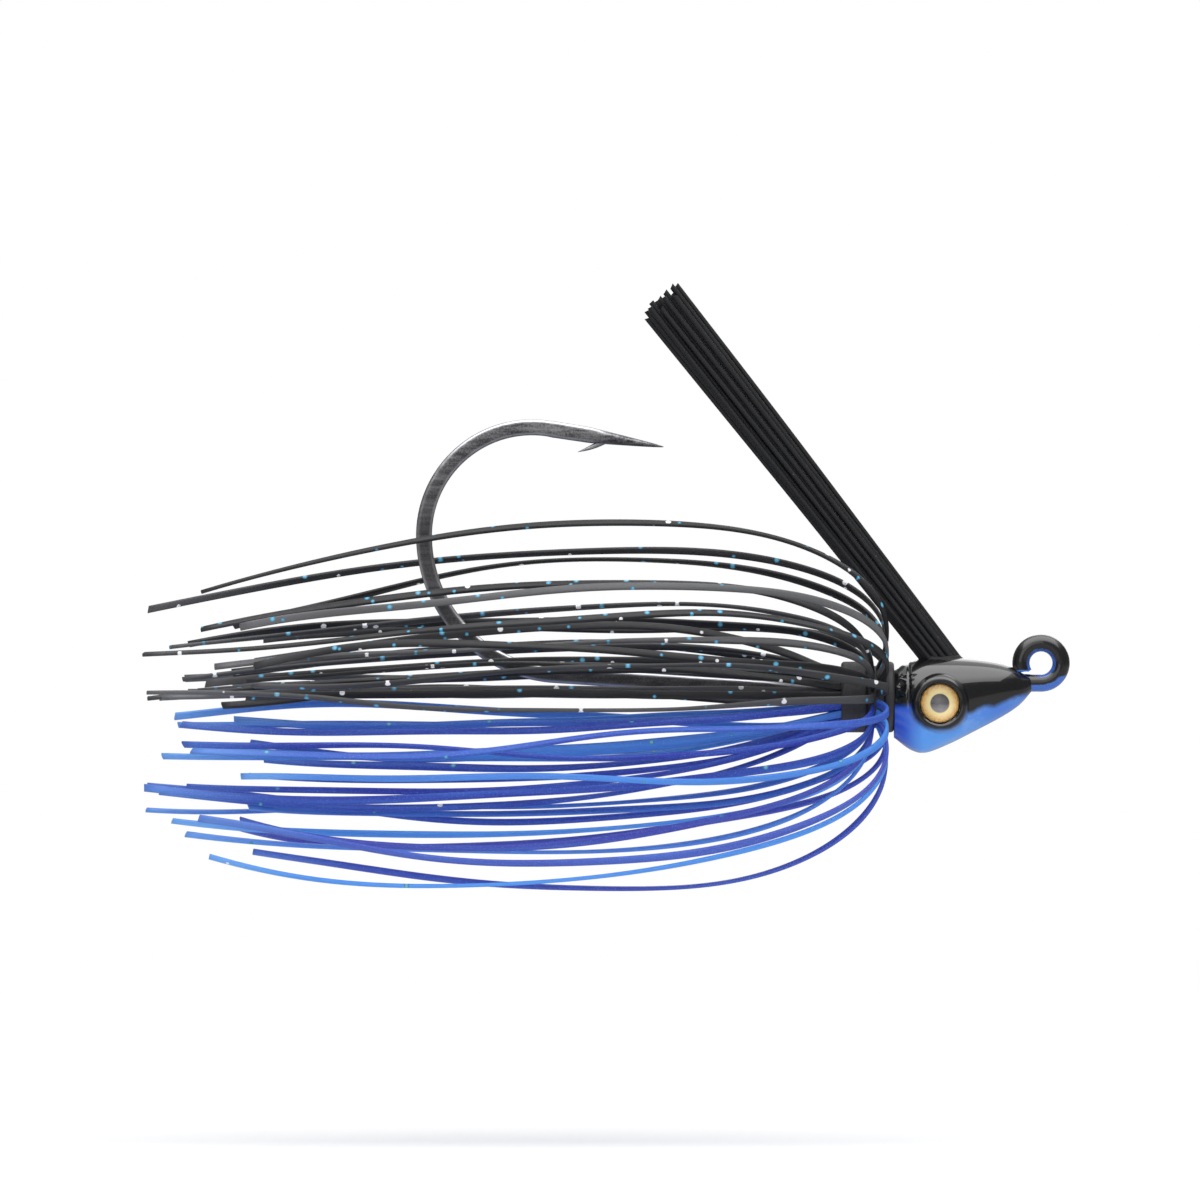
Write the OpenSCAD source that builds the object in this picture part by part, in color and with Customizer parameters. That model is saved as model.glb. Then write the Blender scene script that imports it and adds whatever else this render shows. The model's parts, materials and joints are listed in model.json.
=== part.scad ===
// Skirted bass jig: cast head on a forged hook, bristle weed guard, silicone skirt.
// +X points out of the nose, +Z up on the hook point's side. The origin is the
// centre of the line-tie eye, whose hole runs along Y.

/* [Hook] */
// Diameter of the hook wire
wire_d = 1.6; // [1.2:0.1:2]
// Thickness across the forged flats of the bend
forged_t = 1.2; // [0.9:0.05:1.5]
// Distance back from the line tie to where the shank meets the bend
shank_len = 48.6; // [40.6:0.1:58.4]
// Radius of the lower half of the bend
bend_r = 14; // [11.5:0.1:17]
// Radius of the upper half of the bend
point_bend_r = 10.8; // [9:0.1:13]
// Length of the straight leg from the bend to the point
point_len = 11.6; // [9.6:0.1:14]

/* [Line tie] */
// Radius of the hole in the line-tie eye
tie_hole_r = 1.15; // [1:0.05:1.3]
// Radius of the wire where it is curled into the eye, with its paint
tie_wire_r = 0.9; // [0.75:0.05:1.1]

/* [Head] */
// Scale of the head's width and belly about the shank
head_size = 1; // [0.9:0.05:1.2]
// Diameter of the lead keeper behind the head
keeper_d = 3.8; // [3.4:0.1:4.2]
// Diameter of each foil eye
eye_d = 4; // [3.2:0.1:4.4]
// Height of the clear dome on each eye
eye_dome_h = 0.75; // [0.5:0.05:1]

/* [Weed guard] */
// Diameter of one bristle
bristle_d = 0.55; // [0.4:0.05:0.66]
// Length of the bristles from the glue to the tips
bristle_len = 44; // [36:0.5:53]
// Angle of the bristles above the horizontal
guard_angle = 52; // [48:0.5:58]
// How much wider apart the bristles are at the tips than at the glue
guard_fan = 1.5; // [1:0.05:1.8]

/* [Skirt] */
// Width of one silicone strand
strand_w = 0.85; // [0.7:0.05:1.05]
// Thickness of one silicone strand
strand_t = 0.4; // [0.3:0.02:0.5]
// Distance back from the collar to the average strand tip
skirt_len = 69; // [57:1:84]
// Radius of the skirt at its widest, from top to bottom
skirt_r = 20; // [17:0.5:24]
// Width of the skirt as a share of its height
skirt_flat = 0.7; // [0.65:0.01:0.9]
// How far the collar's ring and tube stand out above its waist
collar_lip = 0.42; // [0.3:0.02:0.9]

/* [Hidden] */
$fn = 48;

// Sides of the lure, looking forward along +X
right = -1;
left = 1;
// Gap between pieces of different bodies
run_gap = 0.3;
// Gap left between pieces that are cast or glued to each other
cast_gap = 0.01;
overcut = 1;

// Line-tie eye: a cut ring of wire, whose flattened bore is a short cylinder
tie_land = 0.08;
tie_ring_r = tie_hole_r + tie_wire_r - tie_land;
tie_sweep = 288;

// Hook centreline, as [x, z]: from the eye it steps down through two knees inside the head
wire_r = wire_d / 2;
skirt_z = -3.4;
collar_front_x = -14.7;
shank_pitch = 3.7;
function shank_z(x) = skirt_z + (collar_front_x - x) * tan(shank_pitch);
knee_r = 2.5;
knee_angle = 30;
nose_end = [-2.4, -tie_ring_r];
front_knee_c = nose_end - [0, knee_r];
step_start = front_knee_c + knee_r * [-sin(knee_angle), cos(knee_angle)];
rear_knee_dx = -knee_r * (sin(knee_angle) + sin(shank_pitch));
rear_knee_dz = knee_r * (cos(knee_angle) - cos(shank_pitch));
step_drop = step_start[1] + rear_knee_dz - shank_z(step_start[0] + rear_knee_dx);
step_len = step_drop / (sin(knee_angle) + cos(knee_angle) * tan(shank_pitch));
step_end = step_start - step_len * [cos(knee_angle), sin(knee_angle)];
rear_knee_c = step_end + knee_r * [-sin(knee_angle), cos(knee_angle)];
shank_start = rear_knee_c - knee_r * [sin(shank_pitch), cos(shank_pitch)];
bend_start = [-shank_len, shank_z(-shank_len)];
bend_c = bend_start + bend_r * [cos(90 - shank_pitch), sin(90 - shank_pitch)];
point_c = bend_c + [point_bend_r - bend_r, 0];
point_dip = 9;
leg_start = point_c + point_bend_r * [sin(point_dip), cos(point_dip)];
leg_dir = [cos(point_dip), -sin(point_dip)];
hook_tip = leg_start + point_len * leg_dir;
spear_len = 7.4;
spear_start = hook_tip - spear_len * leg_dir;
tip_r = 0.06;
leg_r = 0.85 * wire_r;
barb_h = 0.9;
barb_t = 0.5;
shank_heading = 180 - shank_pitch;
eye_overlap = 0.4;
eye_step = 0.02;
round_to_x = -24;
forged_from_x = round_to_x - 3;
forged_squareness = 3.2;
wire_sides = 16;

hook_rows = concat(
  [[[eye_overlap, -tie_ring_r], 180, tie_wire_r - eye_step, tie_wire_r - eye_step]],
  arc_rows(front_knee_c, knee_r, 90, 90 + knee_angle, 3, tie_wire_r, tie_wire_r),
  arc_rows(rear_knee_c, knee_r, 270 + knee_angle, 270 - shank_pitch, 4, wire_r, wire_r),
  [
    [[round_to_x, shank_z(round_to_x)], shank_heading, wire_r, wire_r],
    [[forged_from_x, shank_z(forged_from_x)], shank_heading, wire_r, forged_t / 2]
  ],
  arc_rows(bend_c, bend_r, 270 - shank_pitch, 180, 12, wire_r, forged_t / 2),
  [for (i = [1 : 12]) arc_rows(point_c, point_bend_r, 180, 90 - point_dip, 12, wire_r, forged_t / 2)[i]],
  [
    [spear_start, -point_dip, leg_r, forged_t / 2],
    [hook_tip - spear_len / 3 * leg_dir, -point_dip, wire_r / 2, forged_t / 4],
    [hook_tip, -point_dip, tip_r, tip_r]
  ]
);

// Head stations from nose to rear, as [x, top, bottom, half width]
head_stations = [
  [-1.0, -1.3, -2.9, 0.9], [-1.9, -1.0, -3.95, 1.65], [-2.9, -0.4, -4.75, 2.3],
  [-4.4, 0.05, -5.65, 2.95], [-6.6, 0.38, -6.8, 3.55], [-9.2, 0.55, -8.1, 4.1],
  [-11.5, 0.52, -8.96, 4.25], [-13.0, 0.15, -8.75, 3.9], [collar_front_x, -0.75, -7.75, 3.1]
];
head_roundness = 2.25;
head_rings = 25;
head_sides = 28;
keeper_end_x = -19.8;

// Foil eyes, sunk in a raised socket ring on each side of the head
eye_at = [-10.2, -4.0];
eye_fit = 0.05;
socket_wall = 0.95;
socket_out = 0.25;
socket_y = 4.15 * head_size + socket_out;
recess_depth = 0.5;
foil_t = 0.12;

// Weed guard: bristles in a hexagonal bundle that swings about a line near its base
guard_dir = [-cos(guard_angle), 0, sin(guard_angle)];
guard_side = [-sin(guard_angle), 0, -cos(guard_angle)];
guard_base = [-10.1, 0, skirt_z + (0.52 - skirt_z) * head_size];
pivot_depth = 1.1;
guard_pivot = guard_base - pivot_depth * guard_dir;
row_counts = [4, 5, 6, 5, 4];
bristle_pitch = bristle_d + 0.03;
bundle_r = (max(row_counts) - 1) * bristle_pitch / 2 + bristle_d / 2;
root_r = bundle_r + 0.6;
root_gap = 0.1;
pocket_r = bundle_r + 0.85;
pocket_floor_z = -1.9;
glue_sink = 0.3;
tip_spread = 0.7;

// Collar: a front ring and a rear tube with a waist between, where the folded strands leave
front_ring_w = 1;
rear_tube_w = 2.6;
strand_gap = 0.2;
petals = 4;
parting_angle = 20;
belly_gap_angle = 6;
petal_angle = (180 - parting_angle - belly_gap_angle) / petals;
// Strands of one layer stand two to a petal round the waist, side by side
waist_r = 2 * (strand_w + strand_gap) / (petal_angle * PI / 180);
layer_x = [
  collar_front_x - front_ring_w - run_gap - strand_t / 2,
  collar_front_x - front_ring_w - 2 * run_gap - 3 * strand_t / 2
];
rear_tube_x = layer_x[1] - strand_t / 2 - run_gap;
collar_rear_x = rear_tube_x - rear_tube_w;
trail_x = collar_rear_x - run_gap;
collar_chamfer = 0.2;

// Skirt: four petals a side, each a fan of seven strands laid from the top down
fan_slots = 8;
outer_slots = [[1, 0], [3, 1], [5, 0], [7, 1]];
inner_slots = [[2, 2], [6, 2], [4, 3]];
skirt_droop = 0.05;
parting = bundle_r * guard_fan / 2 + 0.6;
round_until = 6;
strand_rings = 16;
// Each strand has a lane of its own inside the petal, so that strands cross without meeting
layer_lanes = [[0, 1], [2, 3], [4, 5], [6, 6]];
// Lanes from the outside in: how far they swell and where their tips end, as shares of the skirt's radius
lane_reach = [1, 0.86, 0.73, 0.6, 0.47, 0.36, 0.25];
lane_tip = [0.75, 0.65, 0.55, 0.45, 0.35, 0.25, 0.16];
// Sideways lean and wave of a strand's tip in degrees, and ripple as a share of its radius
sway = 8;
wave = 7;
ripple = 0.035;
// Strands wander less where the skirt leaves less room for their width: 1 in the real skirt, 0 at 14 widths
loose = (skirt_r - 14 * strand_w) / 8.1;
// Number of the left side's first strand in the scatter
left_first = 40;

module jig_head() {
  color("royalblue")
  difference() {
    union() {
      head_casting();
      along_x(keeper_end_x, collar_front_x + overcut, skirt_z) circle(d = keeper_d);
      for (side = [right, left]) eye_socket(side);
    }
    guard_pocket(0);
    shank_bore();
    for (side = [right, left])
      on_side(side, socket_y - recess_depth) cylinder(h = recess_depth + overcut, r = eye_d / 2 + eye_fit);
  }
}

module hook() {
  color("dimgray")
  difference() {
    union() {
      ring_wire(tie_wire_r, tie_ring_r, [0, 0], -90, tie_sweep);
      loft([for (row = hook_rows) wire_ring(row)]);
      barb();
    }
    rotate([90, 0, 0]) cylinder(h = 4 * tie_wire_r, r = tie_hole_r, center = true, $fn = 96);
  }
}

module guard_glue() {
  color("black")
  intersection() {
    guard_pocket(cast_gap);
    at_pivot() cylinder(h = 4 * pocket_r, r = root_r - root_gap, center = true);
    union() {
      along_guard(bundle_r);
      translate([guard_base[0] - 4 * pocket_r, -2 * pocket_r, -4 * pocket_r])
        cube([8 * pocket_r, 4 * pocket_r, 4 * pocket_r + guard_base[2] - glue_sink]);
    }
  }
}

module bristle_row(row) {
  color("darkslategray")
  difference() {
    for (i = [0 : row_counts[row] - 1]) bristle(row, i);
    at_pivot() cylinder(h = 4 * pocket_r, r = root_r, center = true);
  }
}

module eye_foil(side) {
  color("gold")
  on_side(side, socket_y - recess_depth + cast_gap) cylinder(h = foil_t, r = eye_d / 2);
}

module eye_dome(side) {
  dome_r = (pow(eye_d / 2, 2) + pow(eye_dome_h, 2)) / (2 * eye_dome_h);
  color("lightcyan")
  on_side(side, socket_y - recess_depth + foil_t + 2 * cast_gap)
    intersection() {
      translate([0, 0, eye_dome_h - dome_r]) sphere(r = dome_r, $fn = 96);
      cylinder(h = eye_dome_h + overcut, r = eye_d / 2);
    }
}

module skirt_collar() {
  color("dimgray")
  translate([0, 0, skirt_z]) rotate([0, -90, 0])
    rotate_extrude($fn = 96) collar_profile();
}

// Strands of one petal: outer ones fold back from the waist, inner ones trail from the tube
module strands(petal, side, slots, shade) {
  color(shade)
  for (slot = slots) strand(petal * fan_slots + slot[0], slot[1], side);
}

// Places children with +Z outward, on the eye's axis at distance y from the middle
module on_side(side, y) {
  translate([eye_at[0], side * y, eye_at[1]]) rotate([-90 * side, 0, 0]) children();
}

module eye_socket(side) {
  socket_r = eye_d / 2 + socket_wall;
  on_side(side, 0) {
    cylinder(h = socket_y - socket_out, r = socket_r);
    translate([0, 0, socket_y - socket_out]) cylinder(h = socket_out, r1 = socket_r, r2 = socket_r - socket_out);
  }
}

// Extrudes a section along X, from x0 to x1 at height z
module along_x(x0, x1, z) {
  translate([x0, 0, z]) rotate([0, 90, 0]) linear_extrude(x1 - x0) children();
}

module at_pivot() {
  translate(guard_pivot) rotate([90, 0, 0]) children();
}

// Round pocket along the bristles, with a flat floor above the shank
module guard_pocket(inset) {
  reach = 3 * pocket_r;
  intersection() {
    along_guard(pocket_r - inset);
    translate([guard_pivot[0] - 2 * reach, -reach, pocket_floor_z + inset]) cube([4 * reach, 2 * reach, 2 * reach]);
  }
}

module along_guard(r) {
  translate(guard_pivot) rotate([0, guard_angle - 90, 0]) cylinder(h = 6 * pocket_r, r = r, center = true);
}

module bristle(row, i) {
  u = (i - (row_counts[row] - 1) / 2) * bristle_pitch;
  v = (row - 2) * bristle_pitch * sin(60);
  lean = [0, v, 0] + u * guard_side;
  uneven = tip_spread * scatter(row + 5 * i, 1);
  rod(guard_pivot + lean, guard_pivot + guard_fan * lean + (root_r + bristle_len + uneven) * guard_dir, bristle_d / 2);
}

// Round rod between two points in space
module rod(a, b, r) {
  d = b - a;
  translate(a) rotate([0, acos(d[2] / norm(d)), atan2(d[1], d[0])]) cylinder(h = norm(d), r = r, $fn = 24);
}

// The channel that the casting leaves round the eye's end and the shank
module shank_bore() {
  eye_r = tie_wire_r + cast_gap;
  shank_r = wire_r + cast_gap;
  ring_wire(eye_r, tie_ring_r, [0, 0], -90, tie_sweep);
  wire([0, -tie_ring_r], nose_end, eye_r, eye_r);
  ring_wire(eye_r, knee_r, front_knee_c, 90, knee_angle);
  wire(step_start, step_end, eye_r, shank_r);
  ring_wire(shank_r, knee_r, rear_knee_c, 270 - shank_pitch, knee_angle + shank_pitch);
  wire(shank_start, [round_to_x, shank_z(round_to_x)], shank_r, shank_r);
}

// Wedge raised on the inside of the point, facing back
module barb() {
  inner = [-leg_dir[1], leg_dir[0]] * -1;
  root = spear_start + 3 * leg_dir;
  lift = spear_start - 0.9 * leg_dir + (wire_r + barb_h) * inner;
  heel = spear_start + 0.5 * leg_dir + 0.3 * wire_r * inner;
  rotate([90, 0, 0]) linear_extrude(barb_t, center = true) polygon([root, lift, heel]);
}

module wire(a, b, r1, r2) {
  d = b - a;
  translate([a[0], 0, a[1]]) rotate([0, atan2(d[0], d[1]), 0]) cylinder(h = norm(d), r1 = r1, r2 = r2);
}

// Arc of wire in the XZ plane about c
module ring_wire(r, mean_r, c, from, sweep) {
  translate([c[0], 0, c[1]]) rotate([90, 0, 0]) rotate([0, 0, from])
    rotate_extrude(angle = sweep, $fn = 96) translate([mean_r, 0]) circle(r = r);
}

// Section of the hook across its heading: h half high in the XZ plane, t half thick along Y
function wire_ring(row) = [
  for (k = [0 : wire_sides - 1])
    let(a = 360 * k / wire_sides, c = cos(a), n = sin(a), h = row[2], t = row[3])
    let(p = 2 / (t < h ? forged_squareness : 2))
    let(up = h * sign(c) * pow(abs(c), p), out = t * sign(n) * pow(abs(n), p))
    [row[0][0] - up * sin(row[1]), out, row[0][1] + up * cos(row[1])]
];

// Rows of [centre, heading, half height, half thickness] along an arc, turning left or right
function arc_rows(c, r, from, to, n, h, t) = [
  for (i = [0 : n])
    let(a = from + (to - from) * i / n)
    [c + r * [cos(a), sin(a)], a + (to > from ? 90 : -90), h, t]
];

module collar_profile() {
  tube_r = waist_r + collar_lip;
  c = collar_chamfer;
  front = -collar_front_x;
  ring_end = front + front_ring_w;
  tube = -rear_tube_x;
  rear = -collar_rear_x;
  bore_r = keeper_d / 2 + cast_gap;
  polygon([
    [bore_r, front], [tube_r - c, front], [tube_r, front + c], [tube_r, ring_end - c], [tube_r - c, ring_end],
    [waist_r, ring_end], [waist_r, tube], [tube_r - c, tube], [tube_r, tube + c],
    [tube_r, rear - c], [tube_r - c, rear], [bore_r, rear]
  ]);
}

// Superellipse section of the head, as a closed ring of points
function head_ring(s) = [
  for (k = [0 : head_sides - 1])
    let(a = 360 * k / head_sides, c = cos(a), n = sin(a), p = 2 / head_roundness)
    [s[0], s[3] * sign(c) * pow(abs(c), p), (s[1] + s[2]) / 2 + (s[1] - s[2]) / 2 * sign(n) * pow(abs(n), p)]
];

// Station t of the head, from 0 at the nose to 1 at the rear, on a smooth spline
function head_at(t) =
  let(last = len(head_stations) - 1, f = min(t * last, last - 0.0001), i = floor(f), u = f - i)
  let(a = head_stations[max(i - 1, 0)], b = head_stations[i])
  let(c = head_stations[i + 1], d = head_stations[min(i + 2, last)])
  let(m = (b * 2 + (c - a) * u + (a * 2 - b * 5 + c * 4 - d) * u * u + (b * 3 - a - c * 3 + d) * u * u * u) / 2)
  [m[0], skirt_z + (m[1] - skirt_z) * head_size, skirt_z + (m[2] - skirt_z) * head_size, m[3] * head_size];

module head_casting() {
  loft([for (i = [0 : head_rings - 1]) head_ring(head_at(i / (head_rings - 1)))]);
}

// Closed skin over a row of rings, each with the same number of points
module loft(rings) {
  n = len(rings[0]);
  last = len(rings) - 1;
  points = [for (ring = rings) for (p = ring) p];
  walls = [
    for (i = [0 : last - 1]) for (k = [0 : n - 1])
      let(a = i * n + k, b = i * n + (k + 1) % n)
      each [[a, b, b + n], [a, b + n, a + n]]
  ];
  caps = [[for (k = [n - 1 : -1 : 0]) k], [for (k = [0 : n - 1]) last * n + k]];
  polyhedron(points, concat(walls, caps));
}

// Scatter from -1 to 1 for strand or bristle k
function scatter(k, m) = let(f = 29.9 * sin(137.5 * k + 71 * m)) 2 * (f - floor(f)) - 1;

// Number of strand k in the scatter
function number(k, side) = k + (side == left ? left_first : 0);

// The two sides take their lanes in opposite orders, so that their lowest strands pass each other
function lane(k, layer, side) = layer_lanes[layer][(k % fan_slots < fan_slots / 2) == (side == right) ? 0 : 1];

// Where a strand leaves the collar, as [x, radius]
function strand_root(layer) = layer < 2 ? [layer_x[layer], waist_r + run_gap]
  : [trail_x, waist_r - (layer - 2) * (strand_t + run_gap) - strand_t / 2];

// A point on a strand's route before it is turned round the skirt, as [x, radius], at t from 0 to 1
function route(k, layer, side, t) =
  let(
    n = number(k, side),
    reach = skirt_r * lane_reach[lane(k, layer, side)] * (1 + 0.03 * scatter(n, 1)),
    tip_r = skirt_r * lane_tip[lane(k, layer, side)] * (1 + 0.05 * scatter(n, 3)),
    tip = [collar_front_x - skirt_len - 6 * scatter(n, 2), tip_r],
    folded = layer < 2,
    root = strand_root(layer),
    lead = folded ? [2.6 - 3 * layer, 0.3 * reach] : [-4, 0.12 * reach],
    shoulder = folded ? [1.5 - 4 * layer, 1.1 * reach] : [-9, 1.05 * reach],
    hip = [collar_front_x - 0.55 * skirt_len * (1 + 0.12 * scatter(n, 6)), 1.22 * reach]
  )
  bezier([root, root + lead, [root[0] + shoulder[0], shoulder[1]], hip, tip], t);

function bezier(p, t) = len(p) == 1 ? p[0]
  : bezier([for (i = [0 : len(p) - 2]) p[i] * (1 - t) + p[i + 1] * t], t);

// Angle of slot k round the skirt, from the top
function slot_angle(k) = parting_angle + petal_angle * k / fan_slots;

// The route turned to its angle: round at the collar, flattened and parted for the guard further out
function strand_at(k, layer, side, t, turn = 0) =
  let(n = number(k, side), q = route(k, layer, side, t))
  let(r = q[1] * (1 + loose * ripple * t * sin(500 * t + 180 * scatter(n, 5))))
  let(wander = loose * (sway * scatter(n, 4) + wave * sin(420 * t + 180 * scatter(n, 7))))
  let(a = slot_angle(k) + wander * t * t * (layer < 2 ? 1 : 0.5) + turn)
  let(open = min(1, max(0, (r - waist_r) / round_until)))
  [
    q[0],
    side * (r * sin(a) * (1 - (1 - skirt_flat) * open) + parting * open * max(0, cos(a))),
    skirt_z - skirt_droop * (strand_root(layer)[0] - q[0]) * abs(cos(a)) + r * cos(a)
  ];

function unit(v) = v / norm(v);

function strand_section(k, layer, side, t) =
  let(step = 0.01, p = strand_at(k, layer, side, t))
  let(along = unit(strand_at(k, layer, side, t + step) - strand_at(k, layer, side, t - step)))
  let(round_skirt = strand_at(k, layer, side, t, step) - p)
  let(flat_dir = unit(round_skirt - (round_skirt * along) * along) * strand_w / 2)
  let(thin_dir = cross(along, unit(flat_dir)) * strand_t / 2)
  [p - flat_dir - thin_dir, p + flat_dir - thin_dir, p + flat_dir + thin_dir, p - flat_dir + thin_dir];

module strand(k, layer, side) {
  rings = [for (i = [0 : strand_rings]) strand_section(k, layer, side, pow(i / strand_rings, 1.3))];
  loft(side == left ? rings : [for (ring = rings) [for (j = [3 : -1 : 0]) ring[j]]]);
}

jig_head();
hook();
guard_glue();
bristle_row(0);  // bristles_right_edge
bristle_row(1);  // bristles_right
bristle_row(2);  // bristles_middle
bristle_row(3);  // bristles_left
bristle_row(4);  // bristles_left_edge
eye_foil(right);  // eye_foil_right
eye_foil(left);  // eye_foil_left
eye_dome(right);  // eye_dome_right
eye_dome(left);  // eye_dome_left
skirt_collar();
strands(0, right, outer_slots, "black");  // skirt_top_right_outer
strands(0, right, inner_slots, "black");  // skirt_top_right_inner
strands(0, left, outer_slots, "black");  // skirt_top_left_outer
strands(0, left, inner_slots, "black");  // skirt_top_left_inner
strands(1, right, outer_slots, "black");  // skirt_flank_right_outer
strands(1, right, inner_slots, "black");  // skirt_flank_right_inner
strands(1, left, outer_slots, "black");  // skirt_flank_left_outer
strands(1, left, inner_slots, "black");  // skirt_flank_left_inner
strands(2, right, outer_slots, "royalblue");  // skirt_cheek_right_outer
strands(2, right, inner_slots, "royalblue");  // skirt_cheek_right_inner
strands(2, left, outer_slots, "royalblue");  // skirt_cheek_left_outer
strands(2, left, inner_slots, "royalblue");  // skirt_cheek_left_inner
strands(3, right, outer_slots, "royalblue");  // skirt_belly_right_outer
strands(3, right, inner_slots, "royalblue");  // skirt_belly_right_inner
strands(3, left, outer_slots, "royalblue");  // skirt_belly_left_outer
strands(3, left, inner_slots, "royalblue");  // skirt_belly_left_inner
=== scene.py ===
import json
import math

import bpy
import numpy as np
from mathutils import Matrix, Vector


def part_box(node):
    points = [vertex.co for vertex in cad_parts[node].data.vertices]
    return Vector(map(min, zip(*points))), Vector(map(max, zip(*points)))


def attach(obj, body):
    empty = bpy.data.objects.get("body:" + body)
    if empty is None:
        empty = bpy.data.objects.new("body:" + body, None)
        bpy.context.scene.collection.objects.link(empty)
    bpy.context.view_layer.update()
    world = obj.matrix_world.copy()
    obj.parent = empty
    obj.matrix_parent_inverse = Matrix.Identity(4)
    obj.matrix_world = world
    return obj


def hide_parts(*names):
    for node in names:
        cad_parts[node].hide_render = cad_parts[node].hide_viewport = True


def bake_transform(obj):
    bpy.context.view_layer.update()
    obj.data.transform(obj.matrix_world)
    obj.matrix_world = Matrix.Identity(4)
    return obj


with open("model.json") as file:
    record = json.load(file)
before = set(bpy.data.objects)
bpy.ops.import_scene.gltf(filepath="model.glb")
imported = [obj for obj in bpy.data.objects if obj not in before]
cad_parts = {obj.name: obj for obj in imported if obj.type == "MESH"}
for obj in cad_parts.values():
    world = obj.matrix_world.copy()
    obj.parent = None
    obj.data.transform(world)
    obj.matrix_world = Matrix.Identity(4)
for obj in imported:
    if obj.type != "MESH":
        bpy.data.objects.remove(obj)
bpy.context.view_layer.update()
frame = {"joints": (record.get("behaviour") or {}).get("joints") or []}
jointOf = {joint["name"]: joint for joint in frame["joints"]}
mm = 0.001
sideSign = {"right": -1, "left": 1}

print("stage: mesh helpers")


def scatter(k, m):
    # scatter from -1 to 1 for piece number k: the fraction of 29.9 sin(137.5 k + 71 m), doubled, less 1
    f = 29.9 * np.sin(np.radians(137.5 * k + 71 * m))
    return 2 * (f - np.floor(f)) - 1


def smoothStep(low, high, x):
    t = np.clip((x - low) / (high - low), 0, 1)
    return t * t * (3 - 2 * t)


def superCircle(count, power):
    # points (c, n) of the curve |c|^power + |n|^power = 1, starting at c = 1
    angle = np.arange(count) * 2 * math.pi / count
    c, n = np.cos(angle), np.sin(angle)
    return np.sign(c) * np.abs(c) ** (2 / power), np.sign(n) * np.abs(n) ** (2 / power)


def skinFaces(rows, columns, first=0):
    # quads between neighbouring rings of a closed tube, and a flat face over each end
    i, j = np.meshgrid(np.arange(rows - 1), np.arange(columns), indexing="ij")
    nextJ = (j + 1) % columns
    here, after = i * columns, (i + 1) * columns
    quads = np.stack([here + j, here + nextJ, after + nextJ, after + j], -1)
    faces = (quads.reshape(-1, 4) + first).tolist()
    last = first + (rows - 1) * columns
    return faces + [list(range(first + columns - 1, first - 1, -1)), list(range(last, last + columns))]


def makePiece(name, tubes, body, node, slot, material, values=None, blendTo=None, angle=None):
    # one object from a list of (rows, columns, 3) point grids in metres, with one attribute value a point;
    # it rides on its body, or, when a blend is given, is left unparented with its placement applied
    points, faces, first = [], [], 0
    for grid in tubes:
        faces += skinFaces(grid.shape[0], grid.shape[1], first)
        points.append(grid.reshape(-1, 3))
        first += grid.shape[0] * grid.shape[1]
    mesh = bpy.data.meshes.new(name)
    mesh.from_pydata(np.concatenate(points).tolist(), [], faces)
    mesh.polygons.foreach_set("use_smooth", np.ones(len(mesh.polygons), bool))
    for key, value in (values or {}).items():
        layer = mesh.attributes.new(key, "FLOAT", "POINT")
        layer.data.foreach_set("value", np.asarray(value, np.float32).ravel())
    mesh.update()
    if angle:
        mesh.set_sharp_from_angle(angle=math.radians(angle))
    mesh.materials.append(material)
    piece = bpy.data.objects.new(name, mesh)
    bpy.context.scene.collection.objects.link(piece)
    if blendTo:
        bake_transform(piece)
    else:
        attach(piece, body)
    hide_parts(node)


def revolve(profile, columns, centre, axis):
    # a profile of (distance along the axis, radius) turned about an axis through centre:
    # centre + distance * axis + radius * (cos angle * first + sin angle * second), square to each other
    angle = np.arange(columns) * 2 * math.pi / columns
    along, radius = np.asarray(profile, float).T
    axis = np.asarray(axis, float)
    first = np.cross(axis, (0.3, 0.1, 1.0))
    first /= np.linalg.norm(first)
    second = np.cross(axis, first)
    ring = np.cos(angle)[:, None] * first + np.sin(angle)[:, None] * second
    return np.asarray(centre) + along[:, None, None] * axis + radius[:, None, None] * ring


def tangents(path):
    # unit tangents along a path of points
    step = np.gradient(path, axis=0)
    return step / np.linalg.norm(step, axis=1, keepdims=True)


print("stage: material helpers")


class Value:
    # a shader socket; arithmetic on it adds Math nodes
    def __init__(self, tree, socket):
        self.tree, self.socket = tree, socket

    def math(self, operation, first, second):
        return addNode(self.tree, "ShaderNodeMath", {"operation": operation}, {0: first, 1: second})

    def __add__(self, other):
        return self.math("ADD", self, other)

    def __radd__(self, other):
        return self.math("ADD", other, self)

    def __sub__(self, other):
        return self.math("SUBTRACT", self, other)

    def __rsub__(self, other):
        return self.math("SUBTRACT", other, self)

    def __mul__(self, other):
        return self.math("MULTIPLY", self, other)

    def __rmul__(self, other):
        return self.math("MULTIPLY", other, self)


def addNode(tree, kind, settings, inputs, output=0):
    # any node, from its type, its settings and the values or links of its sockets; gives one output back
    node = tree.nodes.new(kind)
    for key, value in settings.items():
        setattr(node, key, value)
    for key, value in inputs.items():
        if isinstance(value, Value):
            tree.links.new(value.socket, node.inputs[key])
        else:
            node.inputs[key].default_value = value
    return Value(tree, node.outputs[output])


def mixColour(tree, factor, first, second):
    # the first colour where factor is 0, the second where it is 1; sockets 6, 7 and output 2 are its colours
    first, second = [c if isinstance(c, Value) else (*c, 1) for c in (first, second)]
    return addNode(tree, "ShaderNodeMix", {"data_type": "RGBA"}, {0: factor, 6: first, 7: second}, 2)


def step(tree, value, low, high):
    # smooth 0 to 1 as value goes from low to high
    smooth = {"interpolation_type": "SMOOTHSTEP"}
    return addNode(tree, "ShaderNodeMapRange", smooth, {"Value": value, "From Min": low, "From Max": high})


def noise(tree, vector, scale, detail=3):
    # soft random grey; scale is in waves a millimetre
    return addNode(tree, "ShaderNodeTexNoise", {}, {"Vector": vector, "Scale": scale, "Detail": detail})


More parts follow.
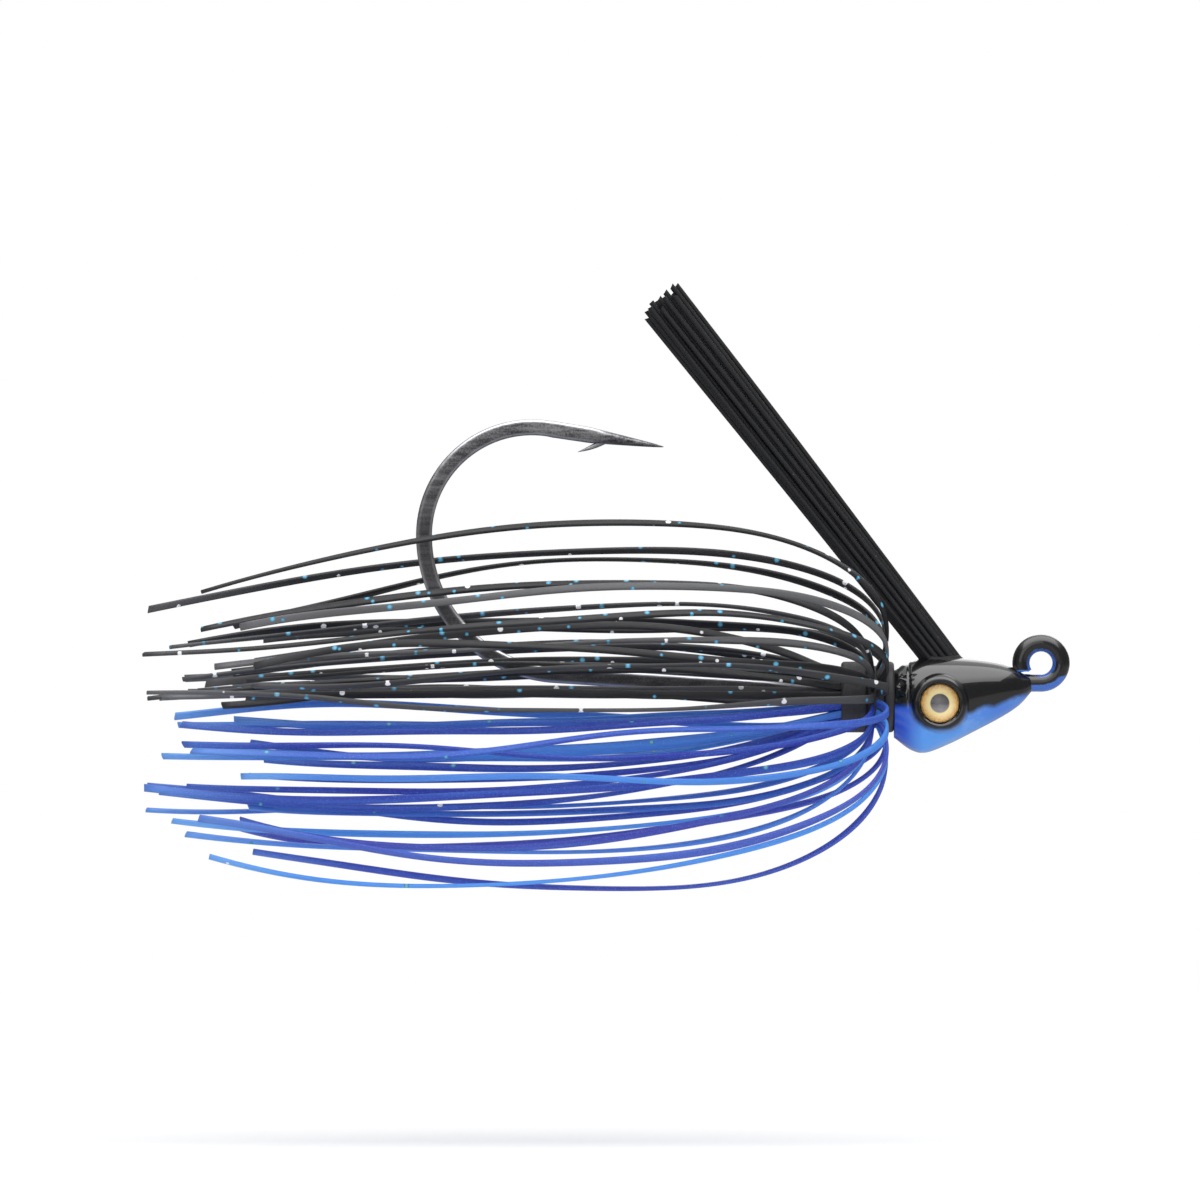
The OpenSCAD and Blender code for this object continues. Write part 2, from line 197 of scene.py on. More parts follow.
def cells(tree, vector, scale, output="Distance", settings={}):
    # distance to the nearest of many scattered points, or that point's own random colour
    return addNode(tree, "ShaderNodeTexVoronoi", settings, {"Vector": vector, "Scale": scale}, output)


def attribute(tree, name):
    return addNode(tree, "ShaderNodeAttribute", {"attribute_name": name}, {}, "Fac")


def larger(tree, first, second):
    return addNode(tree, "ShaderNodeMath", {"operation": "MAXIMUM"}, {0: first, 1: second})


def distance(tree, dx, dz):
    # how far from a centre, as the square root of dx squared plus dz squared
    return addNode(tree, "ShaderNodeMath", {"operation": "SQRT"}, {0: dx * dx + dz * dz})


def join(tree, x, y, z=0.0):
    return addNode(tree, "ShaderNodeCombineXYZ", {}, {0: x, 1: y, 2: z})


def placeInMm(tree):
    # the object's own coordinates in millimetres
    coordinates = addNode(tree, "ShaderNodeTexCoord", {}, {}, "Object")
    return addNode(tree, "ShaderNodeVectorMath", {"operation": "SCALE"}, {0: coordinates, "Scale": 1 / mm})


def axisOf(tree, vector, letter):
    return addNode(tree, "ShaderNodeSeparateXYZ", {}, {0: vector}, letter)


def bump(tree, height, depth, strength):
    # depth in millimetres
    inputs = {"Strength": strength, "Distance": depth * mm, "Height": height}
    return addNode(tree, "ShaderNodeBump", {}, inputs)


def newMaterial(name, fixed):
    # fixed holds what is the same all over the surface
    material = bpy.data.materials.new(name)
    material.use_nodes = True
    shader = material.node_tree.nodes["Principled BSDF"]
    for key, value in fixed.items():
        shader.inputs[key].default_value = value
    return material, material.node_tree, shader


def feed(tree, shader, links):
    # what varies over the surface
    for key, value in links.items():
        tree.links.new(value.socket, shader.inputs[key])


print("stage: head")

head = {
    # stations from nose to rear, in mm: x, top, bottom, half width
    "stations": [
        (-1.0, -1.3, -2.9, 0.9), (-1.9, -1.0, -3.95, 1.65), (-2.9, -0.4, -4.75, 2.3),
        (-4.4, 0.05, -5.65, 2.95), (-6.6, 0.38, -6.8, 3.55), (-9.2, 0.55, -8.1, 4.1),
        (-11.5, 0.52, -8.96, 4.25), (-13.0, 0.15, -8.7, 3.9), (-14.6, -0.7, -7.55, 3.15),
    ],
    "rearX": -14.7,
    "roundness": 2.25,
    "lump": 0.07,  # how far the pooled paint on the neck stands out, mm
    "crease": 0.1,  # depth of the groove in front of it, mm
    "creaseX": -13.25,
    "neckR": 3.6,
    "keeperEnd": -19.8,
    "keeperLength": 5.6,
    "keeperR": 1.9,
    "keeperBore": 1.0,
    "black": (0.0045, 0.0048, 0.0056),
    "deepBlue": (0.026, 0.080, 0.62),
    "brightBlue": (0.092, 0.37, 1.0),
    "paintLine": -4.3,  # height of the paint line behind the eye, mm
    "paintRise": (-4.7, 0.36),  # where the line starts to rise to the nose, and how steeply
    "highlightBlue": (0.34, 0.56, 0.96),
    "socketBlack": (2.7, 3.35),  # the black round the eye fades out between these radii, mm
}
eye = {
    "x": -10.2,
    "z": -4.0,
    "socketY": 4.4,
    "radius": 2.0,
    "lip": 0.72,
    "shoulder": 0.3,  # from the wall of the recess to the top of its rounded edge, mm
    "pressed": 0.56,
    "foilR": 1.9,
    "foilT": 0.11,
    "domeR": 1.97,
    "pupil": 0.91,
    "gold": (0.93, 0.76, 0.34),
    "rimGold": (0.80, 0.44, 0.085),
    "ink": (0.20, 0.10, 0.03),
    "edgeBrown": (0.08, 0.05, 0.03),
    "pupilDark": (0.040, 0.033, 0.038),
    "pupilHighlight": (0.12, 0.11, 0.125),
    "pupilReflection": (0.32, 0.31, 0.33),
}
skirtZ = -3.4


def spline(rows, t):
    # Catmull-Rom through the rows, at each t from 0 to 1: a cubic between two rows whose slope at each is
    # half the step between that row's neighbours
    rows = np.asarray(rows, float)
    last = len(rows) - 1
    f = np.clip(t * last, 0, last - 1e-6)
    i = np.floor(f).astype(int)
    u = (f - i)[:, None]
    a, b = rows[np.maximum(i - 1, 0)], rows[i]
    c, d = rows[i + 1], rows[np.minimum(i + 2, last)]
    return (2 * b + (c - a) * u + (2 * a - 5 * b + 4 * c - d) * u**2 + (3 * b - a - 3 * c + d) * u**3) / 2


def headGrid(rows, columns):
    # superellipse sections along the stations: y is the half width times c, and z is the middle height
    # plus the half height times n
    x, top, bottom, half = spline(head["stations"], np.linspace(0, 1, rows)).T[:, :, None]
    c, n = superCircle(columns, head["roundness"])
    y = half * c
    z = (top + bottom) / 2 + (top - bottom) / 2 * n
    x = x + 0 * y
    # the sides are pressed flat under each foil eye
    away = np.hypot(x - eye["x"], z - eye["z"])
    flat = np.minimum(np.abs(y), eye["socketY"] - eye["pressed"])
    y = np.where(away < eye["radius"] + 0.35, np.sign(y) * flat, y)
    # the neck's upper half is lumpy where the paint pooled, behind a shallow crease
    neck = smoothStep(-13.3, -13.6, x) * smoothStep(-4.6, -3.7, z)
    lump = np.maximum(0, np.sin(4.6 * x + 1.6 * z) * np.sin(3.1 * z - 1.3 * x) + 0.3)
    crease = np.exp(-((x - head["creaseX"]) / 0.13) ** 2) * smoothStep(-4.8, -4.0, z)
    swell = 1 + (neck * lump * head["lump"] - crease * head["crease"]) / head["neckR"]
    y = y * swell
    z = (z - skirtZ) * swell + skirtZ
    # a rounded rim closes the rear: back by the sine of the turn, inward by 1 less its cosine
    grid = np.stack([x, y, z], -1)
    turn = np.radians([35, 65, 90])[:, None, None]
    lastX, lastTop, lastBottom = head["stations"][-1][:3]
    radial = grid[-1:] * [0, 1, 1] - [0, 0, (lastTop + lastBottom) / 2]
    outward = radial / np.linalg.norm(radial, axis=-1, keepdims=True)
    rimR = lastX - head["rearX"]
    rear = grid[-1:] - rimR * (np.sin(turn) * np.array([1, 0, 0]) + (1 - np.cos(turn)) * outward)
    return np.concatenate([grid, rear]) * mm


def headPaint():
    # black airbrushed over blue, with a soft edge, under a clear coat
    material, tree, shader = newMaterial("headPaint", {
        "Specular IOR Level": 0.2, "Coat Weight": 1.0, "Coat Roughness": 0.07, "Coat IOR": 1.7})
    place = placeInMm(tree)
    x, z = axisOf(tree, place, "X"), axisOf(tree, place, "Z")
    drift = noise(tree, place, 0.5) - 0.5
    start, slope = head["paintRise"]
    rise = larger(tree, x - start, 0) * slope
    behindLip = -7.2  # the line dips here, where the socket's lip meets the side
    fillet = (1 - step(tree, larger(tree, x - behindLip, behindLip - x), 0.0, 1.9)) * 0.7
    line = z - rise - head["paintLine"] + drift * 0.8 + fillet
    spray = noise(tree, place, 9, 4) - 0.5
    above = step(tree, line + spray * 0.3, -0.35, 0.4)
    away = distance(tree, x - eye["x"], (z - eye["z"] - 0.1) * 1.05)
    around = 1 - step(tree, away + spray * 0.3 + drift * 0.5, *head["socketBlack"])
    dark = larger(tree, above, around)
    cloud = noise(tree, place, 0.35)
    pearl = cells(tree, place, 14)
    # the blue is lightened lower down as a painted highlight and deepens towards the rear; cloud and pearl
    # vary it at random
    lowSheen = step(tree, z, -4.5, -8.0)
    front = step(tree, x, -14.2, -11.5)
    tone = front * (0.45 + lowSheen * 0.5) + cloud * 0.35 + (1 - pearl) * 0.1 - 0.1
    blue = mixColour(tree, tone, head["deepBlue"], head["brightBlue"])
    # paler patches away from the rear are a painted highlight on the blue
    paleHighlight = step(tree, cloud + spray * 0.5, 0.48, 0.7) * front * 0.3
    highlightedBlue = mixColour(tree, paleHighlight, blue, head["highlightBlue"])
    orangePeel = noise(tree, place, 0.8, 2) + noise(tree, place, 3.5, 3) * 0.25
    feed(tree, shader, {
        "Base Color": mixColour(tree, dark, highlightedBlue, head["black"]),
        "Roughness": 0.42 - dark * 0.12,
        "Normal": bump(tree, orangePeel, 0.05, 0.6),
    })
    return material


def socketProfile():
    # wall of the recess, then a broad rounded lip that falls into the side of the head as q to the power 2.1
    r, y = eye["radius"] + 0.03, eye["socketY"]
    top = r + eye["shoulder"]
    rim = top + eye["lip"]
    rise = [(y - 0.16 * (1 - q) ** 2, r + (top - r) * q) for q in np.linspace(0, 1, 8)]
    fall = [(y - 1.1 * q**2.1, top + (rim - top) * q) for q in np.linspace(0.08, 1, 16)]
    floorY, buriedY, hubR = y - 0.62, y - 2.2, r * 0.4
    return [(y - 0.6, r)] + rise + fall + [(buriedY, rim), (buriedY, hubR), (floorY, hubR)]


def keeperProfile():
    # a plain barrel, open only by the shank's own hole
    bore, r, length = head["keeperBore"], head["keeperR"], head["keeperLength"]
    return [(0, bore), (0.02, r), (length, r), (length + 0.02, bore)]


eyeCentre = (eye["x"], 0, eye["z"])
casting = [headGrid(190, 160)]
for sign in sideSign.values():
    casting.append(revolve(socketProfile(), 96, eyeCentre, (0, sign, 0)) * mm)
casting.append(revolve(keeperProfile(), 64, (head["keeperEnd"], 0, skirtZ), (1, 0, 0)) * mm)
makePiece("headCasting", casting, "lure", "jig_head", "head_paint", headPaint(), angle=50)

print("stage: eyes")


def eyeFoil():
    # a dark printed pupil on gold foil, whose outer band is broken up by fine brown print; the pupil's
    # lighter middle and paler lower part are a painted reflection
    material, tree, shader = newMaterial("eyeFoil", {"Coat Weight": 0.3, "Coat Roughness": 0.1})
    place = placeInMm(tree)
    up = axisOf(tree, place, "Z") - eye["z"]
    away = distance(tree, axisOf(tree, place, "X") - eye["x"], up)
    dots = cells(tree, place, 8.5)
    rim = step(tree, away, 1.05, 1.75)
    ink = 1 - step(tree, dots - rim * 0.5 + 0.14, 0.0, 0.16)
    gold = mixColour(tree, rim, eye["gold"], eye["rimGold"])
    speckled = mixColour(tree, ink * 0.8, gold, eye["ink"])
    band = mixColour(tree, step(tree, away, 1.76, 1.86) * 0.8, speckled, eye["edgeBrown"])
    pupil = 1 - step(tree, away, eye["pupil"] - 0.05, eye["pupil"] + 0.04)
    # painted reflection: the pupil is lighter in the middle and paler towards its bottom
    highlightHeart = 1 - step(tree, away, 0.2, 0.85)
    low = step(tree, up, 0.1, -0.8)
    dark = mixColour(tree, highlightHeart * 0.8, eye["pupilDark"], eye["pupilHighlight"])
    pale = mixColour(tree, low * 0.75, dark, eye["pupilReflection"])
    feed(tree, shader, {
        "Base Color": mixColour(tree, pupil, band, pale),
        "Roughness": 0.34 + pupil * 0.12,
        "Metallic": 0.3 - pupil * 0.3,
        "Normal": bump(tree, dots, 0.02, 0.3),
    })
    return material


def eyeDome():
    # clear cast resin, very slightly uneven
    material, tree, shader = newMaterial("eyeDome", {
        "Base Color": (1, 1, 1, 1), "Roughness": 0.015, "IOR": 1.42, "Transmission Weight": 1.0})
    feed(tree, shader, {"Normal": bump(tree, noise(tree, placeInMm(tree), 0.7, 1), 0.02, 0.3)})
    return material


def depths(node):
    # how far a part's inner and outer faces stand from the lure's middle plane, mm
    return sorted(abs(corner[1]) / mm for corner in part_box(node))


def foilProfile(face):
    # a thin disc with a softened edge
    r, back = eye["foilR"], face - eye["foilT"]
    return [(back, 0.3), (back, r - 0.03), (face - 0.05, r), (face, r - 0.03), (face, 1.2), (face, 0.01)]


def domeProfile(foot, crown):
    # height follows the cosine of the turn to the power 1.25, radius its sine
    base = foot + 0.03
    turn = np.linspace(math.pi / 2, 0, 26)[:-1]
    curve = [(base + (crown - base) * math.cos(a) ** 1.25, eye["domeR"] * math.sin(a)) for a in turn]
    return [(foot, 0.02)] + curve + [(crown, 0.01)]


foilMaterial, domeMaterial = eyeFoil(), eyeDome()
for side, sign in sideSign.items():
    foil = revolve(foilProfile(depths("eye_foil_" + side)[1]), 96, eyeCentre, (0, sign, 0))
    makePiece("eyeFoil_" + side, [foil * mm], "lure", "eye_foil_" + side, "eye_foil", foilMaterial, angle=40)
    dome = revolve(domeProfile(*depths("eye_dome_" + side)), 96, eyeCentre, (0, sign, 0))
    makePiece("eyeDome_" + side, [dome * mm], "lure", "eye_dome_" + side, "eye_dome", domeMaterial, angle=60)

print("stage: hook")

hook = {
    "wireR": 0.8,
    "forgedT": 0.6,
    "shankLen": 48.6,
    "shankPitch": 3.7,
    "bendR": 14.0,
    "pointBendR": 10.8,
    "pointLen": 11.6,
    "pointDip": 9.0,
    "spearLen": 7.4,
    "eyeWireR": 0.9,
    "eyeRingR": 1.97,
    "eyeBoreR": 1.15,
    "eyeCutAt": 214,  # where the ring's wire is cut off, in degrees from +X towards +Z
    "neckX": -2.4,
    "tailRows": 14,
    "tailFloor": -1.04,  # the cut end stops here, just above the wire that it was bent round to
    "kneeR": 2.5,
    "kneeAngle": 30.0,
    "thinFrom": (-24, -30),  # the round wire is forged flat between these places on the shank
    "barbRoot": 1.9,
    "barbBack": 1.0,
    "barbLift": 1.85,
    "barbTall": 0.42,
    "barbWide": 0.27,
    "barbBow": 0.12,
    "paintedFrom": (-3.2, -2.6),  # the eye's paint fades in between these places on X
    "nickel": (0.074, 0.073, 0.078),
    "paleNickel": (0.47, 0.47, 0.49),
    "edgeHighlight": (0.74, 0.74, 0.77),
    "sprayBlue": (0.045, 0.16, 0.62),
}


def turnArc(centre, radius, start, end, count):
    # points and headings along an arc, in degrees from +X towards +Z
    angle = np.linspace(start, end, count)
    around = np.radians(angle)
    points = np.asarray(centre) + radius * np.stack([np.cos(around), np.sin(around)], -1)
    return points, angle + (90 if end > start else -90)


def hookRows():
    # the centre line in the XZ plane, from the cut end of the eye to the point, with the heading in degrees,
    # the half height and the half thickness: ring, two bends of the neck, shank, bend, point
    pitch, knee, kneeAngle = hook["shankPitch"], hook["kneeR"], math.radians(hook["kneeAngle"])
    ringR, wire, eyeWire, forged = hook["eyeRingR"], hook["wireR"], hook["eyeWireR"], hook["forgedT"]
    p = math.radians(pitch)

    def shankZ(x):
        return skirtZ + (head["rearX"] - x) * math.tan(p)

    # neck: an arc down, a straight slope, and an arc back into the shank
    frontC = np.array([hook["neckX"], -ringR - knee])
    outward = np.array([-math.sin(kneeAngle), math.cos(kneeAngle)])
    slope = np.array([math.cos(kneeAngle), math.sin(kneeAngle)])
    slopeStart = frontC + knee * outward
    joinX = slopeStart[0] - knee * (math.sin(kneeAngle) + math.sin(p))
    joinZ = slopeStart[1] + knee * (math.cos(kneeAngle) - math.cos(p))
    slopeLen = (joinZ - shankZ(joinX)) / (math.sin(kneeAngle) + math.cos(kneeAngle) * math.tan(p))
    rearC = slopeStart - slopeLen * slope + knee * outward
    shankX = np.linspace(rearC[0] - knee * math.sin(p) - 0.1, -hook["shankLen"] + 0.1, 150)
    shank = np.stack([shankX, shankZ(shankX)], -1)
    shankThick = wire + (forged - wire) * smoothStep(*hook["thinFrom"], shankX)
    # bend: a wide arc up from the shank, then a tighter one over to the point
    bendStart = np.array([-hook["shankLen"], shankZ(-hook["shankLen"])])
    bendC = bendStart + hook["bendR"] * np.array([math.sin(p), math.cos(p)])
    pointC = bendC + [hook["pointBendR"] - hook["bendR"], 0]
    # point: straight, tapering over its spear
    dip = math.radians(hook["pointDip"])
    legStart = pointC + hook["pointBendR"] * np.array([math.sin(dip), math.cos(dip)])
    legDir = np.array([math.cos(dip), -math.sin(dip)])
    legT = np.linspace(0.04, 1, 60)
    leg = legStart + legT[:, None] * hook["pointLen"] * legDir
    bluntLen = hook["pointLen"] - hook["spearLen"]
    spear = np.clip((legT * hook["pointLen"] - bluntLen) / hook["spearLen"], 0, 1)
    legHalf = wire * (1 - 0.15 * legT) * (1 - spear) ** 0.75 + 0.035
    legThick = forged * (1 - spear**1.6) ** 0.9 + 0.035
    parts = [
        (*turnArc((0, 0), ringR, hook["eyeCutAt"], -90, 120), eyeWire, eyeWire),
        (*turnArc(frontC, knee, 90, 90 + hook["kneeAngle"], 12), eyeWire, eyeWire),
        (*turnArc(rearC, knee, 270 + hook["kneeAngle"], 270 - pitch, 12), wire, wire),
        (shank, 180 - pitch + 0 * shankX, wire, shankThick),
        (*turnArc(bendC, hook["bendR"], 270 - pitch, 180, 90), wire, forged),
        (*turnArc(pointC, hook["pointBendR"], 179, 90 - hook["pointDip"], 90), wire, forged),
        (leg, -hook["pointDip"] + 0 * legT, legHalf, legThick),
    ]
    points = np.concatenate([part[0] for part in parts])
    heading = np.concatenate([part[1] for part in parts])
    half, thick = [np.concatenate([part[k] + 0 * part[1] for part in parts]) for k in (2, 3)]
    return points, heading, half, thick, legStart + bluntLen * legDir, legDir


def barbGrid(spearStart, legDir):
    # a sliver lifted off the inner face of the spear, pointing back: a straight spine with a sine bow
    rows = np.linspace(0, 1, 24)
    inner = np.array([legDir[1], -legDir[0]])
    root = spearStart + hook["barbRoot"] * legDir
    tip = spearStart - hook["barbBack"] * legDir + hook["barbLift"] * inner
    spine = root + rows[:, None] * (tip - root) + np.sin(rows * math.pi)[:, None] * hook["barbBow"] * inner
    tall = (hook["barbTall"] * (1 - rows**1.5) + 0.02)[:, None]
    wide = (hook["barbWide"] * (1 - rows**2) + 0.02)[:, None]
    c, n = superCircle(16, 2.6)
    x, z = spine[:, :1] - tall * c * inner[0], spine[:, 1:] - tall * c * inner[1]
    return np.stack([x, wide * n, z], -1)


def hookPiece():
    # sections carried along the centre line: |up / half|^power + |out / thick|^power = 1, where power is
    # 2 on the round wire and more where it is forged
    points, heading, half, thick, spearStart, legDir = hookRows()
    half, thick, turn = half[:, None], thick[:, None], np.radians(heading)[:, None]
    angle = np.arange(40)[None, :] * 2 * math.pi / 40
    forged = smoothStep(0.0, 0.2, half - thick) * (thick > 0.1)
    power = 2 + 2.2 * forged
    c, n = np.cos(angle), np.sin(angle)
    up = half * np.sign(c) * np.abs(c) ** (2 / power)
    out = thick * np.sign(n) * np.abs(n) ** (2 / power)
    x = points[:, :1] - up * np.sin(turn)
    z = points[:, 1:] + up * np.cos(turn)
    # the bore of the eye is a true cylinder
    radius, bore = np.hypot(x, z), hook["eyeBoreR"]
    push = np.where((radius < bore) & (points[:, :1] > hook["neckX"]), bore / np.maximum(radius, 1e-6), 1)
    x, z = x * push, z * push
    # the cut end is rounded over
    tail = (np.arange(len(points)) < hook["tailRows"])[:, None]
    z = np.where(tail, np.maximum(z, hook["tailFloor"] + 0.25 * out**2), z)
    # paint on the eye: blue on its underside, within its bore and under its cut end
    painted = smoothStep(*hook["paintedFrom"], x)
    inside = smoothStep(1.75, 1.35, np.hypot(x, z))
    facing = smoothStep(0.1, -0.55, np.cos(turn) * c * half / (half + 1e-6))
    blue = np.maximum(facing * smoothStep(-0.8, -1.6, z), inside * 0.55)
    blue = np.maximum(blue, tail * smoothStep(-0.55, -0.85, z))
    # the corners of the forged wire, where the finish gets a painted highlight
    edge = forged * np.clip(np.abs(np.sin(2 * angle)) ** 5 * 1.1, 0, 1)
    lengths = np.linalg.norm(np.diff(points, axis=0), axis=1)
    run = np.concatenate([[0], np.cumsum(lengths)])[:, None] + 0 * c
    barb = barbGrid(spearStart, legDir)
    onBarb = {"painted": 0.0, "blueSide": 0.0, "edge": 0.5, "run": 0.0}
    onWire = {"painted": painted, "blueSide": blue, "edge": edge, "run": run}
    barbPoints = barb.shape[0] * barb.shape[1]
    values = {key: np.append(onWire[key].ravel(), np.full(barbPoints, onBarb[key])) for key in onWire}
    tubes = [np.stack([x, out, z], -1) * mm, barb * mm]
    makePiece("hookWire", tubes, "lure", "hook", "black_nickel", hookFinish(), values, angle=45)


def hookFinish():
    # black nickel, mottled on the flats, paler towards the point, with a painted highlight along the corners;
    # the eye was dipped in the head's paint
    material, tree, shader = newMaterial("hookFinish", {"Coat Roughness": 0.04})
    place = placeInMm(tree)
    y, z = axisOf(tree, place, "Y"), axisOf(tree, place, "Z")
    painted, blueSide, edge, run = [attribute(tree, key) for key in ("painted", "blueSide", "edge", "run")]
    grain = noise(tree, place, 2.5, 5)
    streak = noise(tree, join(tree, run * 0.35, y * 5, z * 2.2), 1.0, 4)
    speck = noise(tree, place, 5, 4)
    high = step(tree, z, 12, 27)
    pale = step(tree, streak * 0.6 + speck * 0.4, 0.36, 0.66) * (0.23 + high * 0.65)
    flats = mixColour(tree, pale, hook["nickel"], hook["paleNickel"])
    # painted highlight: the corners are mixed towards a pale nickel
    wearAndHighlight = mixColour(tree, edge * (0.5 + streak * 0.7), flats, hook["edgeHighlight"])
    spray = grain * 0.4 + blueSide
    coat = mixColour(tree, step(tree, spray, 0.55, 0.85), head["black"], hook["sprayBlue"])
    feed(tree, shader, {
        "Base Color": mixColour(tree, painted, wearAndHighlight, coat),
        "Metallic": 1 - painted,
        "Roughness": (0.34 + streak * 0.16 - edge * 0.12) * (1 - painted) + painted * 0.3,
        "Coat Weight": painted,
        "Normal": bump(tree, streak * 0.6 + grain * 0.4, 0.015, 0.35),
    })
    return material


hookPiece()

print("stage: weed guard")

guard = {
    "angle": 52.0,
    "rows": [4, 5, 6, 5, 4],
    "bristleR": 0.275,
    "pitch": 0.58,
    "fan": 1.5,
    "length": 44.0,
    "tipSpread": 0.7,
    "rootGap": 0.6,
    "sink": 0.035,  # how much of its length a bristle stands in the head
    "bow": 0.13,
    "cutTilt": 0.16,
    "cutNarrow": 0.86,
    "waver": 0.05,  # how unevenly thick a bristle is
    "sides": 12,
    "bendOver": (0.3, 2.5),  # it bends from just past its pivot to this far out of the head, mm
    "nylon": (0.0080, 0.0084, 0.0095),
    "paleNylon": (0.026, 0.027, 0.030),
    "cutNylon": (0.05, 0.05, 0.053),
    "scuffNylon": (0.10, 0.10, 0.105),
}
guardPivot = np.array(jointOf["guard_flex"]["pos_m"]) / mm
lean = math.radians(guard["angle"])
guardDir = np.array([-math.cos(lean), 0, math.sin(lean)])
guardSide = np.array([-math.sin(lean), 0, -math.cos(lean)])
bundleR = (max(guard["rows"]) - 1) * guard["pitch"] / 2 + guard["bristleR"]
rootR = bundleR + guard["rootGap"]


def bristleGrid(row, i):
    # a round bristle: pivot + offset that fans out with t + length * t along the guard + a sine bow
    n = row + 5 * i
    sideways = np.array([0, 1, 0])
    u = (i - (guard["rows"][row] - 1) / 2) * guard["pitch"]
    v = (row - 2) * guard["pitch"] * math.sin(math.pi / 3)
    offset = v * sideways + u * guardSide
    length = rootR + guard["length"] + guard["tipSpread"] * scatter(n, 1)
    t = np.append(np.linspace(-guard["sink"], 1, 60), 1.0)[:, None]
    bow = guard["bow"] * np.sin(math.pi * t) * (scatter(n, 2) * guardSide + scatter(n, 3) * sideways)
    path = guardPivot + offset * (1 + (guard["fan"] - 1) * t) + length * t * guardDir + bow
    angle = np.arange(guard["sides"]) * 2 * math.pi / guard["sides"]
    width = guard["bristleR"] * (1 + guard["waver"] * np.sin(9 * t[:, 0] + row + i))
    width[-1] *= guard["cutNarrow"]
    ring = np.cos(angle)[:, None] * guardSide + np.sin(angle)[:, None] * sideways
    grid = path[:, None, :] + width[:, None, None] * ring
    # the cut is slanted
    grid[-2:] += (np.cos(angle) * guard["cutTilt"] * scatter(n, 4))[None, :, None] * guardDir
    return grid


def bristleNylon():
    # black nylon, each bristle a little different, with pale scuffs and a pale cut
    material, tree, shader = newMaterial("bristleNylon", {"Specular IOR Level": 0.3})
    place = placeInMm(tree)
    shade, along = attribute(tree, "shade"), attribute(tree, "along")
    fine = noise(tree, place, 0.6, 2)
    colour = mixColour(tree, shade * 0.7 + fine * 0.3, guard["nylon"], guard["paleNylon"])
    cut = mixColour(tree, step(tree, along, 0.9965, 0.999), colour, guard["cutNylon"])
    scuff = step(tree, noise(tree, place, 2.2, 2), 0.74, 0.78)
    feed(tree, shader, {
        "Base Color": mixColour(tree, scuff * 0.6, cut, guard["scuffNylon"]),
        "Roughness": 0.44 + fine * 0.12,
    })
    return material


nylon = bristleNylon()
rowNodes = ["bristles_right_edge", "bristles_right", "bristles_middle", "bristles_left", "bristles_left_edge"]
bendStart = (guardPivot + guard["bendOver"][0] * guardDir) * mm
bendEnd = (guardPivot + (rootR + guard["bendOver"][1]) * guardDir) * mm
for row, node in enumerate(rowNodes):
    grids = [bristleGrid(row, i) * mm for i in range(guard["rows"][row])]
    shades = [0.5 + 0.5 * scatter(row + 5 * i, 6) for i in range(guard["rows"][row])]
    rings = len(grids[0])
    values = {
        "along": np.tile(np.repeat(np.linspace(0, 1, rings), guard["sides"]), len(grids)),
        "shade": np.repeat(shades, rings * guard["sides"]),
    }
    makePiece("guardBristles_%d" % (row + 1), grids, "lure", node, "bristle_nylon", nylon, values,
              ("weed_guard", tuple(bendStart), tuple(bendEnd)), angle=50)

print("stage: glue")

glue = {
    "crownZ": 0.54,
    "crownX": -9.9,
    "crownFall": (0.021, 0.105),  # how fast the top of the head falls away along X and Y
    "climb": 0.30,  # how far it climbs the bristles
    "ripple": 0.05,
    "footZ": -1.2,  # its edge is carried down to here, inside the head
    "black": (0.006, 0.006, 0.007),
    "grey": (0.02, 0.02, 0.021),
}


def glueGrid():
    # a thin skin of glue: the crown's own parabola, plus a rise that dies away exponentially outside the
    # bundle, plus a ripple round the edge
    rows, columns = 44, 96
    s = np.linspace(0, 1, rows)[:, None]
    angle = np.arange(columns)[None, :] * 2 * math.pi / columns
    radius = 0.3 + s * (bundleR + 0.1)
    climb = glue["climb"] * np.exp(-np.maximum(radius - bundleR + 0.3, 0) * 5.5)
    ripple = glue["ripple"] * np.sin(5 * angle + 1) * s * (1 - s) * 4
    x = guardPivot[0] + 0.55 * guardDir[0] + radius * np.cos(angle) * 1.22 - 0.1
    y = radius * np.sin(angle) * (1 + ripple)
    fallX, fallY = glue["crownFall"]
    crown = glue["crownZ"] - fallX * (x - glue["crownX"]) ** 2 - fallY * y**2
    top = crown + 0.02 + climb + ripple - 0.22 * s**6
    grid = np.stack([x, y, top], -1)
    foot = grid[-1:] * [1, 1, 0] + [0, 0, glue["footZ"]]
    return np.concatenate([grid, foot])[::-1] * mm


def glueFinish():
    # lumpy black glue
    material, tree, shader = newMaterial("glueBead", {"Specular IOR Level": 0.2})
    lumps = noise(tree, placeInMm(tree), 1.4, 4)
    feed(tree, shader, {
        "Base Color": mixColour(tree, lumps, glue["black"], glue["grey"]),
        "Roughness": 0.4 + lumps * 0.25,
        "Normal": bump(tree, lumps, 0.08, 0.5),
    })
    return material


makePiece("guardGlue", [glueGrid()], "lure", "guard_glue", "glue", glueFinish(), angle=70)

print("stage: skirt")

